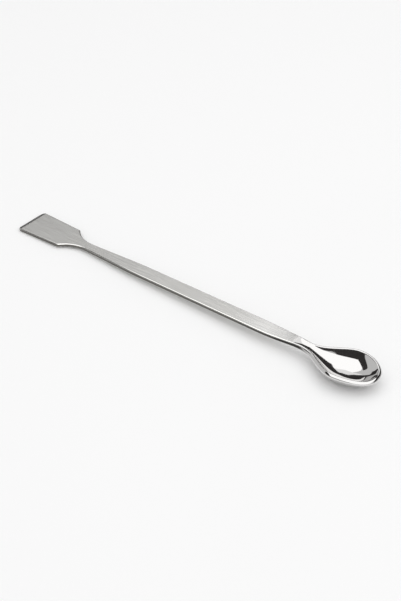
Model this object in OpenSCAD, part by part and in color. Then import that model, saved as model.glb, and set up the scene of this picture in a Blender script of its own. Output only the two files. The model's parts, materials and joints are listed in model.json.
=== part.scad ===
// Lab spatula: a flat scraping blade, a slim handle and a spoon bowl, pressed from one
// strip of stainless steel and ground smooth at its edges.
//
// The sheet is drawn flat first. X runs from the blade's end to the bowl's tip, y is the
// distance from the middle line, and the height is a function of both. This middle
// surface gets its thickness along its own normals, and a rounded edge all the way round.
// Then the spatula is laid down as it rests, on the blade's end and the bowl's underside.
// The origin is at the middle of its length, on the surface that it lies on, with Z up.

/* [Overall] */
// Length over all, from the blade's end to the tip of the bowl
total_l = 210; // [180:1:300]
// Radius of the rounded edge, all the way round
edge_r = 0.7; // [0.2:0.05:0.7]

/* [Blade] */
// Length of the blade, from its end to its shoulders
blade_l = 25.6; // [18:0.2:40]
// Width of the blade at its end
blade_end_w = 19.4; // [15:0.2:26]
// Width of the blade at its shoulders
blade_root_w = 17.2; // [13:0.2:24]
// Radius of the blade's two corners
blade_corner_r = 2.4; // [1:0.1:5]
// Thickness of the blade
blade_t = 1.6; // [1.5:0.1:2.4]
// Length of the bevel that is ground on top of the blade's end
bevel_l = 2; // [1:0.1:4]
// Depth of the bevel at the blade's end
bevel_depth = 0.6; // [0.2:0.05:0.8]

/* [Handle] */
// Length of the hollow curves from the blade's shoulders to the rear neck
shoulder_l = 12.4; // [10:0.2:18]
// Width of the rear neck, next to the blade
rear_neck_w = 5.5; // [4:0.1:8]
// Length over which the handle widens from the rear neck
rear_taper_l = 31; // [15:1:45]
// Width of the grip at its rear end
rear_grip_w = 8.7; // [6:0.1:12]
// Width of the grip at its front end
front_grip_w = 9.3; // [7:0.1:12]
// Length over which the handle narrows from the grip to the throat
front_taper_l = 20; // [14:1:30]
// Thickness of the grip
handle_t = 1.8; // [1.5:0.1:2.6]

/* [Bowl] */
// Length of the bowl, from the throat to the tip
bowl_l = 40.5; // [32:0.5:55]
// Width of the bowl over its rim, at the widest place
bowl_w = 25; // [16:0.2:34]
// Distance from the bowl's widest place to its tip
bowl_nose_l = 16.5; // [13:0.5:22]
// Depth of the bowl's floor below its rim
bowl_depth = 7.1; // [4:0.1:11]
// Distance from the end of the level floor to the tip
floor_nose_l = 18.5; // [16:0.5:28]
// How steeply the floor climbs to the tip, as the power of its curve
floor_nose_power = 3; // [2:0.1:4]
// How square the bowl's cross section is, where 2 is a parabola
bowl_squareness = 2.9; // [2:0.1:3.2]
// Thickness of the bowl's wall
wall_t = 2.1; // [1.4:0.1:2.6]
// Width of the throat, where the handle meets the bowl
throat_w = 6.2; // [5:0.1:9]
// Thickness of the throat
throat_t = 2.1; // [1.6:0.1:2.6]
// How far ahead of the throat the handle's surface starts to dip into the bowl
dip_lead = 5.5; // [1:0.5:10]
// Height of the rim's crest over the handle
rim_rise = 1.5; // [0:0.1:5]
// Distance from the rim's crest to the tip
crest_nose_l = 13; // [12:0.5:26]
// How far the rim falls from its crest to the tip
rim_fall = 1.9; // [0:0.1:4]

/* [Hidden] */

// Places along the flat sheet
x_shoulder = blade_l;
x_rear_neck = x_shoulder + shoulder_l;
x_rear_grip = x_rear_neck + rear_taper_l;
x_throat = total_l - bowl_l;
x_front_grip = x_throat - front_taper_l;
x_wide = total_l - bowl_nose_l;
x_dip = x_throat - dip_lead;
x_floor = total_l - floor_nose_l;
x_crest = total_l - crest_nose_l;

// A straight corner of the outline is eased over this length on each side of it
ease_l = 5;
// The blade's side runs into the shoulder's hollow over this much of the half width
shoulder_soft = 0.4;
// The outline's stations lie this close together on each side of a shoulder
shoulder_reach = 0.8;

// Fineness of the surface
strips = 16;
arc_steps = 3;
corner_turn = 30;
nose_turn = 7.5;
probe = 0.01;
cut_margin = 2;

// Radius of the hollow curve, which runs straight into the rear neck
hollow_drop = (blade_root_w - rear_neck_w) / 2;
hollow_r = (pow(shoulder_l, 2) + pow(hollow_drop, 2)) / (2 * hollow_drop);

// How fast the half width grows along each straight stretch of the handle
rear_slope = (rear_grip_w - rear_neck_w) / 2 / rear_taper_l;
grip_slope = (front_grip_w - rear_grip_w) / 2 / (x_front_grip - x_rear_grip);
front_slope = (throat_w - front_grip_w) / 2 / front_taper_l;

function mix(a, b, t) = a + (b - a) * t;
function clamp01(t) = min(max(t, 0), 1);
function unit(v) = v / norm(v);
// Goes from 0 to 1 with a level start and a level end
function smooth(t) = (1 - cos(180 * clamp01(t))) / 2;
// The same between two places along x
function smooth_between(x, from, to) = smooth((x - from) / (to - from));
// Zero before the corner and the distance past it after it, with the corner eased
function eased(s) = s <= -ease_l ? 0 : s >= ease_l ? s : pow(s + ease_l, 2) / (4 * ease_l);
// The smaller of two values, with their crossing rounded over the width k
function soft_min(a, b, k) = min(a, b) - pow(max(k - abs(a - b), 0), 2) / (4 * k);
// Evenly spaced places from one to the next, without the last one
function span(from, to, count) = [for (k = [0:count - 1]) mix(from, to, k / count)];

// Half width of the handle: straight stretches with eased corners between them
function handle_half(x) =
    rear_neck_w / 2
    + rear_slope * eased(x - x_rear_neck)
    + (grip_slope - rear_slope) * eased(x - x_rear_grip)
    + (front_slope - grip_slope) * eased(x - x_front_grip)
    - front_slope * eased(x - x_throat);

// How much wider than the neck the hollow curve is, by its distance from the neck
function hollow(s) = s >= hollow_r ? hollow_r : hollow_r - sqrt(pow(hollow_r, 2) - s * s);

// What a rounded corner of the blade takes off the half width
function corner_cut(x) =
    x >= blade_corner_r ? 0
    : blade_corner_r - sqrt(pow(blade_corner_r, 2) - pow(blade_corner_r - x, 2));

function blade_half(x) =
    let (side = mix(blade_end_w, blade_root_w, x / x_shoulder) / 2)
    let (neck = handle_half(x) + hollow(x_rear_neck - x))
    soft_min(side, neck, shoulder_soft) - corner_cut(x);

function bowl_half(x) =
    x > x_wide ? bowl_w / 2 * sqrt(max(1 - pow((x - x_wide) / bowl_nose_l, 2), 0))
    : handle_half(x) + (bowl_w - throat_w) / 2 * smooth_between(x, x_throat, x_wide);

// Half width of the whole outline
function half_width(x) =
    x < x_rear_neck ? blade_half(x) : x > x_throat ? bowl_half(x) : handle_half(x);

// Height of the rim, which is the handle's level before the front taper
function rim_z(x) =
    x > x_crest ? rim_rise - rim_fall * pow((x - x_crest) / crest_nose_l, 2)
    : rim_rise * smooth_between(x, x_front_grip, x_crest);

// Depth of the sheet below the rim, on the middle line
function floor_depth(x) =
    bowl_depth * (x > x_floor ? 1 - pow(clamp01((x - x_floor) / floor_nose_l), floor_nose_power)
    : smooth_between(x, x_dip, x_floor));

// Height of the sheet's middle surface
function sheet_z(x, y) =
    rim_z(x)
    - floor_depth(x) * (1 - pow(min(abs(y) / half_width(x), 1), bowl_squareness));

function sheet_normal(x, y) = unit([
    sheet_z(x - probe, y) - sheet_z(x + probe, y),
    sheet_z(x, y - probe) - sheet_z(x, y + probe),
    2 * probe
]);

// Thickness of the sheet along its length
function sheet_t(x) = lookup(x, [
    [x_shoulder, blade_t],
    [x_rear_grip, handle_t],
    [x_front_grip, handle_t],
    [x_throat, throat_t],
    [x_wide, wall_t]
]);

// Places along the sheet where its cross section is drawn, close together on the curves
stations = concat(
    [for (a = [0:corner_turn:90 - corner_turn]) blade_corner_r * (1 - cos(a))],
    span(blade_corner_r, x_shoulder - shoulder_reach, 2),
    span(x_shoulder - shoulder_reach, x_shoulder + shoulder_reach, 4),
    span(x_shoulder + shoulder_reach, x_rear_neck + ease_l, 9),
    [x_rear_neck + ease_l],
    span(x_rear_grip - ease_l, x_rear_grip + ease_l, 4),
    [x_rear_grip + ease_l],
    span(x_front_grip - ease_l, x_dip, 10),
    span(x_dip, x_wide, 24),
    [for (a = [0:nose_turn:90]) x_wide + bowl_nose_l * sin(a)]
);
tip = len(stations) - 1;

// Direction that points straight out of the outline at a station, on the far side
function outward(i) =
    i == 0 ? [-1, 0]
    : i == tip ? [1, 0]
    : unit([half_width(stations[i] - probe) - half_width(stations[i] + probe), 2 * probe]);

// Where the rounded edge begins at a station, inside the outline
function inner_corner(i) = [stations[i], half_width(stations[i])] - edge_r * outward(i);

// The surface's grid, seen from above: rows across the sheet, and one point at the tip
columns = strips + 1;
plan = concat(
    [for (i = [0:tip - 1], j = [0:strips])
        let (corner = inner_corner(i))
        [corner.x, corner.y * (2 * j / strips - 1)]],
    [[inner_corner(tip).x, 0]]
);
plan_count = len(plan);

// The grid's border, anticlockwise from above: each grid point and its way outwards
border = concat(
    [for (i = [0:tip - 1]) [i * columns, [outward(i).x, -outward(i).y]]],
    [[tip * columns, outward(tip)]],
    [for (i = [tip - 1:-1:0]) [i * columns + strips, outward(i)]],
    [for (j = [strips - 1:-1:1]) [j, outward(0)]]
);
border_count = len(border);

// A point of the top (side 1) or the bottom (side -1) of the sheet
function face_point(p, side) =
    [p.x, p.y, sheet_z(p.x, p.y)] + side * sheet_t(p.x) / 2 * sheet_normal(p.x, p.y);

// A point of the rounded edge, turned by an angle from the face towards the edge's middle
function edge_point(p, out, side, turn) =
    let (normal = sheet_normal(p.x, p.y))
    let (flat_out = [out.x, out.y, 0])
    let (away = unit(flat_out - (flat_out * normal) * normal))
    face_point(p, side)
    + edge_r * (side * (cos(turn) - 1) * normal + sin(turn) * away);

function edge_ring(p, out) = concat(
    [for (m = [1:arc_steps]) edge_point(p, out, 1, 90 * m / arc_steps)],
    [for (m = [arc_steps:-1:1]) edge_point(p, out, -1, 90 * m / arc_steps)]
);
ring_count = 2 * arc_steps;

top_points = [for (p = plan) face_point(p, 1)];
bottom_points = [for (p = plan) face_point(p, -1)];
edge_points = [for (b = border) each edge_ring(plan[b[0]], b[1])];

// Number of the point on the edge that is k places along the border and m steps down
function edge_index(k, m) =
    let (b = k % border_count)
    m == 0 ? border[b][0]
    : m > ring_count ? plan_count + border[b][0]
    : 2 * plan_count + b * ring_count + m - 1;

function quad(a, b, c, d) = [[a, b, c], [a, c, d]];

top_faces = concat(
    [for (i = [0:tip - 2], j = [0:strips - 1])
        let (a = i * columns + j)
        each quad(a, a + 1, a + columns + 1, a + columns)],
    [for (j = [0:strips - 1])
        let (a = (tip - 1) * columns + j)
        [a, a + 1, tip * columns]]
);
bottom_faces = [for (f = top_faces) [for (k = [2:-1:0]) f[k] + plan_count]];
edge_faces = [for (k = [0:border_count - 1], m = [0:ring_count]) each quad(
    edge_index(k, m),
    edge_index(k + 1, m),
    edge_index(k + 1, m + 1),
    edge_index(k, m + 1)
)];

// The sheet lies on two places of its underside's middle line: the blade's end, and the
// point of the bowl that a straight edge laid against both would touch
heel = bottom_points[strips / 2];
lie_angle = max([for (i = [1:tip - 1])
    let (b = bottom_points[i * columns + strips / 2])
    atan2(heel.z - b.z, b.x - heel.x)]);
function lying(p) = [
    p.x * cos(lie_angle) - p.z * sin(lie_angle),
    p.y,
    p.x * sin(lie_angle) + p.z * cos(lie_angle)
];
lying_x = [for (p = edge_points) lying(p).x];
middle_x = (min(lying_x) + max(lying_x)) / 2;

// The pressed sheet with its rounded edge, drawn flat
module pressed_sheet() {
    polyhedron(
        points = concat(top_points, bottom_points, edge_points),
        faces = concat(top_faces, bottom_faces, edge_faces)
    );
}

// What the grinding wheel takes off the top of the blade's end
module bevel_cut() {
    cut_l = bevel_l + cut_margin;
    cut_w = blade_end_w + 2 * cut_margin;
    translate([bevel_l, 0, blade_t / 2])
    rotate([0, -atan(bevel_depth / bevel_l), 0])
    translate([-cut_l, -cut_w / 2, 0])
    cube([cut_l, cut_w, cut_margin]);
}

module spatula() {
    color([0.72, 0.72, 0.70])
    translate([-middle_x, 0, -lying(heel).z])
    rotate([0, -lie_angle, 0])
    difference() {
        pressed_sheet();
        bevel_cut();
    }
}

spatula();
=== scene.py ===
import json
from collections import Counter
from math import atan2, ceil, cos, pi, radians, sqrt

import bpy
from mathutils import Matrix, Vector


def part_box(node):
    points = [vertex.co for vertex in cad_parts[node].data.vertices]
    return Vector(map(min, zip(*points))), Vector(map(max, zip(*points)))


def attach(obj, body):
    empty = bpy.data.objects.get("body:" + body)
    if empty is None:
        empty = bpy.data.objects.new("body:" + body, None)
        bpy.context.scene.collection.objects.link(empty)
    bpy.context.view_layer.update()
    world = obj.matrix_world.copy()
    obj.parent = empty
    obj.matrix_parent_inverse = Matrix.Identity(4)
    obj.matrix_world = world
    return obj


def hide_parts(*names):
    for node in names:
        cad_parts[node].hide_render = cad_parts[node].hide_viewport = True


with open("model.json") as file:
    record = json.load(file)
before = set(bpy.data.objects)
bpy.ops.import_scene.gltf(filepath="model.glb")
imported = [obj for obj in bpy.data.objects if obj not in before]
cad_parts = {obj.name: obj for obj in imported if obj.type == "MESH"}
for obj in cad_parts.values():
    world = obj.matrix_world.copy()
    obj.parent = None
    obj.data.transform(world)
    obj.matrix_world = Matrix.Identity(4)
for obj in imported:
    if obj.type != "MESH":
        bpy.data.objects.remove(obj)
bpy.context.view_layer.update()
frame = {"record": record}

mm = 0.001

# a long lens, looking down on the bowl's end; places are in metres
camera = {
    "place": (0.5049, -0.643, 0.5798),
    "target": (0.00292, 0.00072, 0.00227),
    "lean": -1.80,  # degrees that it is rolled over
    "lens": 127.04,
    "sensor": 36,
    "clip": (0.01, 50),
}


def addCamera():
    data = bpy.data.cameras.new("camera")
    data.lens = camera["lens"]
    data.sensor_width = camera["sensor"]
    data.clip_start = camera["clip"][0]
    data.clip_end = camera["clip"][1]
    shot = bpy.data.objects.new("camera", data)
    bpy.context.scene.collection.objects.link(shot)
    look = Vector(camera["target"]) - Vector(camera["place"])
    level = look.to_track_quat("-Z", "Y").to_matrix()
    shot.matrix_world = (
        Matrix.Translation(camera["place"])
        @ (level @ Matrix.Rotation(radians(-camera["lean"]), 3, "Z")).to_4x4()
    )
    bpy.context.scene.camera = shot
    print("camera set")


addCamera()

# the spatula in mm, drawn flat: x runs from the blade's end to the bowl's tip
spatula = {
    "length": 210,
    "edgeRadius": 0.7,
    "edgeSegments": 5,
    "edgeAngle": 60,      # degrees: only the sheet's own edges are sharper than this
    "bladeLength": 25.6,
    "bladeEndWidth": 19.4,
    "bladeRootWidth": 17.2,
    "bladeCorner": 2.4,
    "bladeGauge": 1.6,
    "bevelLength": 2,
    "bevelDepth": 0.6,
    "shoulderLength": 12.4,
    "shoulderSoft": 0.4,  # rounding where the blade's side meets the hollow
    "rearNeckWidth": 5.5,
    "rearTaper": 31,
    "rearGripWidth": 8.7,
    "frontGripWidth": 9.3,
    "frontTaper": 20,
    "handleGauge": 1.8,
    "ease": 5,            # length over which a corner of the outline is eased
    "throatWidth": 6.2,
    "throatGauge": 2.1,
    "dipLead": 5.5,       # how far before the throat the sheet starts to dip
    "bowlLength": 40.5,
    "bowlWidth": 25,
    "bowlNose": 16.5,     # from the widest place to the tip
    "bowlDepth": 7.1,
    "bowlSquareness": 2.9,
    "wallGauge": 2.1,
    "floorNose": 18.5,    # from the deepest place to the tip
    "floorPower": 3,
    "rimRise": 1.5,
    "rimFall": 1.9,
    "crestNose": 13,      # from the rim's highest place to the tip
    "rimBand": 0.6,       # width of the band of faces along the outline
    "strips": 24,
    "noseRows": 12,
    "cornerTurn": 15,     # degrees between rows round a corner of the blade
    "bladeStep": 2.5,     # and the spacing of the other rows, closer where it curves
    "shoulderStep": 0.4,
    "shoulderReach": 1,
    "hollowStep": 1,
    "taperStep": 4,
    "gripEndStep": 2,
    "gripStep": 6,
    "neckStep": 1.5,
    "bowlStep": 0.7,
    "probe": 0.01,        # half the length over which a slope is taken
}

xShoulder = spatula["bladeLength"]
xRearNeck = xShoulder + spatula["shoulderLength"]
xRearGrip = xRearNeck + spatula["rearTaper"]
xThroat = spatula["length"] - spatula["bowlLength"]
xFrontGrip = xThroat - spatula["frontTaper"]
xWide = spatula["length"] - spatula["bowlNose"]
xDip = xThroat - spatula["dipLead"]
xFloor = spatula["length"] - spatula["floorNose"]
xCrest = spatula["length"] - spatula["crestNose"]


def mix(a, b, t):
    return a + (b - a) * t


def smoothStep(x, start, end):
    t = min(max((x - start) / (end - start), 0), 1)
    return (1 - cos(pi * t)) / 2


def eased(s):
    # nothing before 0 and s after it, with the corner between them rounded off
    ease = spatula["ease"]
    if abs(s) >= ease:
        return max(s, 0)
    return (s + ease) ** 2 / (4 * ease)


def softMin(a, b, k):
    # the lesser of two, blended where they are less than k apart
    return min(a, b) - max(k - abs(a - b), 0) ** 2 / (4 * k)


# half the width at a place along the spatula, for each part of the outline
def handleHalf(x):
    s = spatula
    rear = (s["rearGripWidth"] - s["rearNeckWidth"]) / 2 / s["rearTaper"]
    grip = (s["frontGripWidth"] - s["rearGripWidth"]) / 2 / (xFrontGrip - xRearGrip)
    front = (s["throatWidth"] - s["frontGripWidth"]) / 2 / s["frontTaper"]
    return (
        s["rearNeckWidth"] / 2
        + rear * eased(x - xRearNeck)
        + (grip - rear) * eased(x - xRearGrip)
        + (front - grip) * eased(x - xFrontGrip)
        - front * eased(x - xThroat)
    )


def bladeHalf(x):
    s = spatula
    drop = (s["bladeRootWidth"] - s["rearNeckWidth"]) / 2
    radius = (s["shoulderLength"] ** 2 + drop ** 2) / (2 * drop)
    away = min(xRearNeck - x, radius)
    neck = handleHalf(x) + radius - sqrt(radius ** 2 - away ** 2)
    side = mix(s["bladeEndWidth"], s["bladeRootWidth"], x / xShoulder) / 2
    corner = s["bladeCorner"]
    cut = corner - sqrt(corner ** 2 - max(corner - x, 0) ** 2)
    return softMin(side, neck, s["shoulderSoft"]) - cut


def bowlHalf(x):
    s = spatula
    if x > xWide:
        return s["bowlWidth"] / 2 * sqrt(max(1 - ((x - xWide) / s["bowlNose"]) ** 2, 0))
    return handleHalf(x) + (s["bowlWidth"] - s["throatWidth"]) / 2 * smoothStep(x, xThroat, xWide)


def outlineHalf(x):
    if x < xRearNeck:
        return bladeHalf(x)
    return bowlHalf(x) if x > xThroat else handleHalf(x)


# height of the sheet's middle surface: the rim, less the bowl pressed below it
def rimHeight(x):
    s = spatula
    if x > xCrest:
        return s["rimRise"] - s["rimFall"] * ((x - xCrest) / s["crestNose"]) ** 2
    return s["rimRise"] * smoothStep(x, xFrontGrip, xCrest)


def floorDepth(x):
    s = spatula
    if x > xFloor:
        return s["bowlDepth"] * (1 - min((x - xFloor) / s["floorNose"], 1) ** s["floorPower"])
    return s["bowlDepth"] * smoothStep(x, xDip, xFloor)


def sheetHeight(x, y):
    across = min(abs(y) / max(outlineHalf(x), spatula["probe"]), 1)
    return rimHeight(x) - floorDepth(x) * (1 - across ** spatula["bowlSquareness"])


def gauge(x):
    # how thick the sheet is
    s = spatula
    steps = [
        (xShoulder, s["bladeGauge"]),
        (xRearGrip, s["handleGauge"]),
        (xFrontGrip, s["handleGauge"]),
        (xThroat, s["throatGauge"]),
        (xWide, s["wallGauge"]),
    ]
    if x <= steps[0][0]:
        return steps[0][1]
    for (x0, t0), (x1, t1) in zip(steps, steps[1:]):
        if x <= x1:
            return mix(t0, t1, (x - x0) / (x1 - x0))
    return steps[-1][1]


def stretch(start, end, step):
    # even places from start up to, but not at, the end
    count = ceil((end - start) / step)
    return [mix(start, end, k / count) for k in range(count)]


def outward(x):
    # the way that is square to the outline
    probe = spatula["probe"]
    slope = outlineHalf(x - probe) - outlineHalf(x + probe)
    return Vector((slope, 2 * probe)).normalized()


def rowPlaces():
    s = spatula
    ease = s["ease"]
    reach = s["shoulderReach"]
    turns = [radians(a) for a in range(0, 90, s["cornerTurn"])]
    places = [s["bladeCorner"] * (1 - cos(a)) for a in turns]
    stretches = [
        (s["bladeCorner"], xShoulder - reach, s["bladeStep"]),
        (xShoulder - reach, xShoulder + reach, s["shoulderStep"]),
        (xShoulder + reach, xRearNeck + ease, s["hollowStep"]),
        (xRearNeck + ease, xRearGrip - ease, s["taperStep"]),
        (xRearGrip - ease, xRearGrip + ease, s["gripEndStep"]),
        (xRearGrip + ease, xFrontGrip - ease, s["gripStep"]),
        (xFrontGrip - ease, xDip, s["neckStep"]),
        (xDip, xWide, s["bowlStep"]),
    ]
    for start, end, step in stretches:
        places += stretch(start, end, step)
    return places


def makeBlank():
    s = spatula
    places = rowPlaces()
    noseRows = s["noseRows"]
    rows = len(places) + noseRows
    bpy.ops.object.select_all(action="DESELECT")
    bpy.ops.mesh.primitive_grid_add(x_subdivisions=rows, y_subdivisions=s["strips"], size=2)
    blank = bpy.context.object
    blank.name = "spatulaBody"
    noseX = s["bowlNose"] - s["rimBand"]
    noseY = s["bowlWidth"] / 2 - s["rimBand"]
    for vert in blank.data.vertices:
        row = round((vert.co.x + 1) / 2 * rows)
        v = vert.co.y
        if row < len(places):
            out = outward(places[row]) if row else Vector((-1, 0))
            x = places[row] - s["rimBand"] * out.x
            y = v * (outlineHalf(places[row]) - s["rimBand"] * out.y)
        else:
            # the square end of the grid is drawn out into the bowl's round tip
            u = (row - len(places)) / noseRows
            x = xWide + noseX * u * sqrt(1 - v * v / 2)
            y = noseY * v * sqrt(1 - u * u / 2)
        vert.co = (x, y, sheetHeight(x, y))
    print("blank:", len(blank.data.vertices), "points, rows", rows)
    return blank


def waysOut(mesh):
    # for each point of the rim, the way that leads out of the sheet and square to the rim
    faces = Counter(pair for face in mesh.polygons for pair in face.edge_keys)
    beside = {}
    for pair, count in faces.items():
        if count == 1:
            beside.setdefault(pair[0], []).append(pair[1])
            beside.setdefault(pair[1], []).append(pair[0])
    centres = {point: face.center for face in mesh.polygons for point in face.vertices}
    ways = {}
    for point, (ahead, behind) in beside.items():
        vert = mesh.vertices[point]
        along = (mesh.vertices[ahead].co - mesh.vertices[behind].co).normalized()
        away = along.cross(vert.normal).normalized()
        if away.dot(vert.co - centres[point]) < 0:
            away = -away
        ways[point] = away
    return ways


def widenRim(blank):
    # a narrow band of faces along the outline
    ways = waysOut(blank.data)
    first = len(blank.data.vertices)
    bpy.ops.object.mode_set(mode="EDIT")
    bpy.ops.mesh.select_mode(type="EDGE")
    bpy.ops.mesh.select_all(action="DESELECT")
    bpy.ops.mesh.select_non_manifold()
    bpy.ops.mesh.extrude_edges_move()
    bpy.ops.object.mode_set(mode="OBJECT")
    mesh = blank.data
    for edge in mesh.edges:
        near, far = sorted(edge.vertices)
        if near < first <= far:
            mesh.vertices[far].co = mesh.vertices[near].co + ways[near] * spatula["rimBand"]
    bpy.ops.object.mode_set(mode="EDIT")
    bpy.ops.mesh.select_mode(type="VERT")
    bpy.ops.mesh.select_all(action="SELECT")
    bpy.ops.mesh.normals_make_consistent(inside=False)
    bpy.ops.object.mode_set(mode="OBJECT")
    print("rim:", len(mesh.vertices) - first, "points")


def applyAll(piece):
    bpy.ops.object.select_all(action="DESELECT")
    piece.select_set(True)
    bpy.context.view_layer.objects.active = piece
    for modifier in list(piece.modifiers):
        bpy.ops.object.modifier_apply(modifier=modifier.name)


def thickenSheet(blank):
    s = spatula
    thickest = s["throatGauge"]
    group = blank.vertex_groups.new(name="gauge")
    for vert in blank.data.vertices:
        group.add([vert.index], gauge(vert.co.x) / thickest, "REPLACE")
    sheet = blank.modifiers.new("sheet", "SOLIDIFY")
    sheet.thickness = thickest
    sheet.offset = 0
    sheet.vertex_group = group.name
    edge = blank.modifiers.new("edge", "BEVEL")
    edge.width = s["edgeRadius"]
    edge.segments = s["edgeSegments"]
    edge.limit_method = "ANGLE"
    edge.angle_limit = radians(s["edgeAngle"])
    edge.use_clamp_overlap = False
    smooth = blank.modifiers.new("smooth", "SUBSURF")
    smooth.levels = 1
    smooth.render_levels = 1
    applyAll(blank)
    print("sheet:", len(blank.data.polygons), "faces")


def grindBlade(piece):
    s = spatula
    bpy.ops.object.mode_set(mode="EDIT")
    bpy.ops.mesh.select_all(action="SELECT")
    slope = Vector((-s["bevelDepth"], 0, s["bevelLength"])).normalized()
    bpy.ops.mesh.bisect(
        plane_co=(s["bevelLength"], 0, s["bladeGauge"] / 2),
        plane_no=slope,
        use_fill=True,
        clear_outer=True,
    )
    bpy.ops.mesh.mark_sharp()
    bpy.ops.object.mode_set(mode="OBJECT")
    print("blade ground:", len(piece.data.polygons), "faces")


def layDown(piece):
    # turned by the handle's own lean, then moved into the CAD part's box
    top = next(m for m in frame["record"]["mounts"] if m["name"] == "handle_top")
    lean = atan2(-top["axis"][0], top["axis"][2])
    piece.data.transform(Matrix.Rotation(-lean, 4, "Y") @ Matrix.Scale(mm, 4))
    low = Vector([min(v.co[k] for v in piece.data.vertices) for k in range(3)])
    high = Vector([max(v.co[k] for v in piece.data.vertices) for k in range(3)])
    cadLow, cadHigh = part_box("spatula")
    shift = (cadLow + cadHigh - low - high) / 2
    shift.z = cadLow.z - low.z
    piece.data.transform(Matrix.Translation(shift))
    print("size", [round(a / mm, 3) for a in high - low], "lean", lean)


body = makeBlank()
widenRim(body)
thickenSheet(body)
grindBlade(body)
layDown(body)
bpy.ops.object.shade_smooth()

# stainless steel, stamped, pressed and belt ground. The grinding leaves a soft grey satin with
# fine lines along the handle, finer and brighter towards the neck. The rubbed edges are glossier
# and lighter in colour, a painted highlight for the thin bright line they catch; the sides below
# them get painted shade for the dark they mirror, and the buffed bowl mirrors the room.
finish = {
    "satinColour": "E9E8E5",
    "fineColour": "F8F7F5",         # the satin at the neck
    # the rubbed edges' lighter colour is a painted highlight for the bright line they catch
    "rubbedHighlightColour": "F2F1EE",
    # painted shade: a dark colour on the steep sides, for the dark that they mirror
    "sideShadeColour": "65635F",
    "neckSideShadeColour": "3A3937",      # painted shade on the steep side at the neck, darker still
    "buffedColour": "E0DFDE",
    "satinRoughness": 0.26,
    "fineRoughness": 0.14,
    "rubbedRoughness": 0.12,
    "buffedRoughness": 0.05,
    "fineEnds": (125, 158),         # mm from the blade's end, over which a finish changes; the last pair ends the painted side shade
    "buffedEnds": (163.5, 165.5),
    "sideShadeEnds": (168, 176),
    "rubbedTilt": (0.995, 0.96),    # how level a face lies where the rubbed edge and its painted highlight start
    "sideShadeTilt": (0.62, 0.35),        # and where the painted shade on the steep side starts
    "grainWidth": 0.45,             # mm: real belt lines are 0.1 mm apart, too fine to show
    "grainLength": 12,
    "grainDepth": 0.004,
    "grainTone": 0.1,
    "grainRange": (0.3, 0.7),       # the part of the noise that is spread over the tones
    "grainDetail": 2,
}


def colourOf(code):
    parts = [int(code[k:k + 2], 16) / 255 for k in (0, 2, 4)]
    return [p / 12.92 if p <= 0.04045 else ((p + 0.055) / 1.055) ** 2.4 for p in parts] + [1]


def addNode(tree, kind, sockets, **settings):
    node = tree.nodes.new("ShaderNode" + kind)
    for name, value in settings.items():
        setattr(node, name, value)
    for socket, value in sockets.items():
        if isinstance(value, bpy.types.NodeSocket):
            tree.links.new(value, node.inputs[socket])
        else:
            node.inputs[socket].default_value = value
    return node


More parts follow.
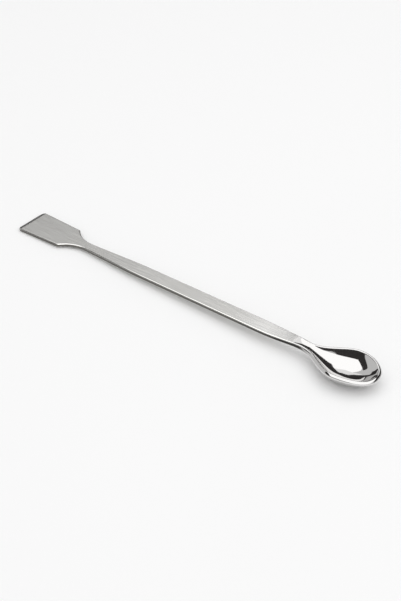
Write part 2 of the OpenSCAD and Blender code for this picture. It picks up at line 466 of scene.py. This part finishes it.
def makeSteel():
    f = finish
    steel = bpy.data.materials.new("stainlessSteelSatinAndBuffed")
    steel.use_nodes = True
    tree = steel.node_tree
    shader = tree.nodes["Principled BSDF"]
    shader.inputs["Metallic"].default_value = 1
    place = addNode(tree, "TexCoord", {})

    # masks along the length
    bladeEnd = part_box("spatula")[0].x
    along = addNode(tree, "SeparateXYZ", {0: place.outputs["Object"]})
    fine = addNode(tree, "MapRange", {
        0: along.outputs[0],
        1: bladeEnd + f["fineEnds"][0] * mm,
        2: bladeEnd + f["fineEnds"][1] * mm,
    })
    buffed = addNode(tree, "MapRange", {
        0: along.outputs[0],
        1: bladeEnd + f["buffedEnds"][0] * mm,
        2: bladeEnd + f["buffedEnds"][1] * mm,
    }, interpolation_type="SMOOTHSTEP")
    satin = addNode(tree, "Math", {0: 1, 1: buffed.outputs[0]}, operation="SUBTRACT")
    # where along the length the painted side shade lies: on the handle, fading out before the
    # bowl
    sideShadeAlong = addNode(tree, "MapRange", {
        0: along.outputs[0],
        1: bladeEnd + f["sideShadeEnds"][0] * mm,
        2: bladeEnd + f["sideShadeEnds"][1] * mm,
        3: 1,
        4: 0,
    }, interpolation_type="SMOOTHSTEP")

    # masks for the edges, by how far a face is tilted
    facing = addNode(tree, "SeparateXYZ", {0: place.outputs["Normal"]})
    level = addNode(tree, "Math", {0: facing.outputs[2]}, operation="ABSOLUTE")
    steep = addNode(tree, "MapRange", {
        0: level.outputs[0],
        1: f["sideShadeTilt"][0],
        2: f["sideShadeTilt"][1],
    }, interpolation_type="SMOOTHSTEP")
    # painted shade on the steep sides of the handle
    cut = addNode(tree, "Math", {0: steep.outputs[0], 1: sideShadeAlong.outputs[0]}, operation="MULTIPLY")
    tilted = addNode(tree, "MapRange", {
        0: level.outputs[0],
        1: f["rubbedTilt"][0],
        2: f["rubbedTilt"][1],
    }, interpolation_type="SMOOTHSTEP")
    # the rubbed edges: glossier, and lighter in colour as a painted highlight
    rubbedAndHighlight = addNode(tree, "Math", {
        0: tilted.outputs[0],
        1: satin.outputs[0],
    }, operation="MULTIPLY")

    # belt lines: noise drawn out along the handle
    perLength = 1 / (f["grainLength"] * mm)
    perWidth = 1 / (f["grainWidth"] * mm)
    drawnOut = addNode(tree, "Mapping", {
        0: place.outputs["Object"],
        3: (perLength, perWidth, perWidth),
    }, vector_type="POINT")
    grain = addNode(tree, "TexNoise", {
        "Vector": drawnOut.outputs[0],
        "Scale": 1,
        "Detail": f["grainDetail"],
    })
    tone = addNode(tree, "MapRange", {
        0: grain.outputs[0],
        1: f["grainRange"][0],
        2: f["grainRange"][1],
        3: 1 - f["grainTone"],
        4: 1 + f["grainTone"],
    })
    bump = addNode(tree, "Bump", {
        "Strength": satin.outputs[0],
        "Distance": f["grainDepth"] * mm,
        "Height": grain.outputs[0],
    })
    tree.links.new(bump.outputs[0], shader.inputs["Normal"])

    # colour, one layer over another: the rubbed edges' painted highlight, the buffed bowl, then
    # the painted shade on the steep sides
    ground = addNode(tree, "Mix", {
        0: fine.outputs[0],
        6: colourOf(f["satinColour"]),
        7: colourOf(f["fineColour"]),
    }, data_type="RGBA")
    colour = addNode(tree, "Mix", {
        0: 1.0,
        6: ground.outputs[2],
        7: tone.outputs[0],
    }, data_type="RGBA", blend_type="MULTIPLY")
    # the colour of the painted side shade, darker towards the neck
    sideShadeTone = addNode(tree, "Mix", {
        0: fine.outputs[0],
        6: colourOf(f["sideShadeColour"]),
        7: colourOf(f["neckSideShadeColour"]),
    }, data_type="RGBA")
    layers = (
        (rubbedAndHighlight, colourOf(f["rubbedHighlightColour"])),
        (buffed, colourOf(f["buffedColour"])),
        (cut, sideShadeTone.outputs[2]),
    )
    for mask, paint in layers:
        colour = addNode(tree, "Mix", {
            0: mask.outputs[0],
            6: colour.outputs[2],
            7: paint,
        }, data_type="RGBA")
    tree.links.new(colour.outputs[2], shader.inputs["Base Color"])

    # roughness, in the same order
    rough = addNode(tree, "MapRange", {
        0: fine.outputs[0],
        3: f["satinRoughness"],
        4: f["fineRoughness"],
    })
    for mask, amount in ((rubbedAndHighlight, f["rubbedRoughness"]), (buffed, f["buffedRoughness"])):
        rough = addNode(tree, "MapRange", {
            0: mask.outputs[0],
            3: rough.outputs[0],
            4: amount,
        })
    tree.links.new(rough.outputs[0], shader.inputs["Roughness"])
    print("steel:", len(tree.nodes), "nodes")
    return steel


body.data.materials.append(makeSteel())
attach(body, "root")
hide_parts("spatula")

# studio, in metres: level lamps over the floor, and dark cards just below them for the steel to
# mirror, which do not dim the walls' light on the floor
studio = {
    "lampHeight": 1.0,
    "cardHeight": 0.98,
    "wallLight": 0.62,
    "floorSize": 12,
    "floorColour": "FAFAFA",
    "cardColour": "403E3E",
    "lamps": {  # low x, low y, high x, high y, and radiance above the walls' own
        "softbox": (-0.80, -0.80, 1.60, 1.00, 0.70),
        "frontLamp": (-1.20, -2.80, 2.60, -1.85, 0.25),
        "rearLamp": (-1.20, 1.00, 0.50, 1.36, 0.34),
    },
    "cards": {  # front left, front right, back left and back right corner
        "sideCard": ((-1.40, -1.80), (-0.60, -0.80), (-1.17, -0.18), (-0.86, 0.25)),
        "frontCard": ((-1.40, -1.80), (1.04, -1.80), (-0.60, -0.72), (0.42, -0.74)),
        "rearCard": ((-0.10, 0.86), (3.00, 0.86), (-0.10, 9.0), (3.00, 9.0)),
        "rearSlant": ((-0.70, 1.30), (-0.10, 0.86), (-0.70, 9.0), (-0.10, 9.0)),
        "rearWing": ((-3.00, 1.15), (-0.70, 1.30), (-3.00, 9.0), (-0.70, 9.0)),
        "leftCard": ((-12.0, -0.20), (-2.20, 0.30), (-12.0, 9.0), (-1.90, 9.0)),
    },
}


def addPanel(name, corners, height, colour):
    bpy.ops.object.select_all(action="DESELECT")
    bpy.ops.mesh.primitive_plane_add(size=2)
    panel = bpy.context.object
    panel.name = name
    for vert, (x, y) in zip(panel.data.vertices, corners):
        vert.co = (x, y, height)
    paint = bpy.data.materials.new(name + "Paint")
    paint.use_nodes = True
    shader = paint.node_tree.nodes["Principled BSDF"]
    shader.inputs["Base Color"].default_value = colourOf(colour)
    shader.inputs["Roughness"].default_value = 1
    shader.inputs["Specular IOR Level"].default_value = 0
    panel.data.materials.append(paint)
    return panel


def addLamp(name, lowX, lowY, highX, highY, radiance):
    lamp = bpy.data.lights.new(name, "AREA")
    lamp.shape = "RECTANGLE"
    lamp.size = highX - lowX
    lamp.size_y = highY - lowY
    lamp.energy = radiance * pi * lamp.size * lamp.size_y
    box = bpy.data.objects.new(name, lamp)
    bpy.context.scene.collection.objects.link(box)
    box.location = ((lowX + highX) / 2, (lowY + highY) / 2, studio["lampHeight"])
    box.visible_camera = False


def setUpStudio():
    s = studio
    size = s["floorSize"] / 2
    corners = ((-size, -size), (size, -size), (-size, size), (size, size))
    addPanel("floor", corners, 0, s["floorColour"])
    for name, corners in s["cards"].items():
        card = addPanel(name, corners, s["cardHeight"], s["cardColour"])
        card.visible_camera = False
        card.visible_diffuse = False
    for name, sides in s["lamps"].items():
        addLamp(name, *sides)
    world = bpy.data.worlds.new("studio")
    bpy.context.scene.world = world
    world.use_nodes = True
    walls = world.node_tree.nodes["Background"]
    walls.inputs["Color"].default_value = (1, 1, 1, 1)
    walls.inputs["Strength"].default_value = s["wallLight"]
    print("studio:", len(s["lamps"]), "lamps,", len(s["cards"]), "cards")


setUpStudio()

bpy.context.scene.view_settings.view_transform = "Standard"
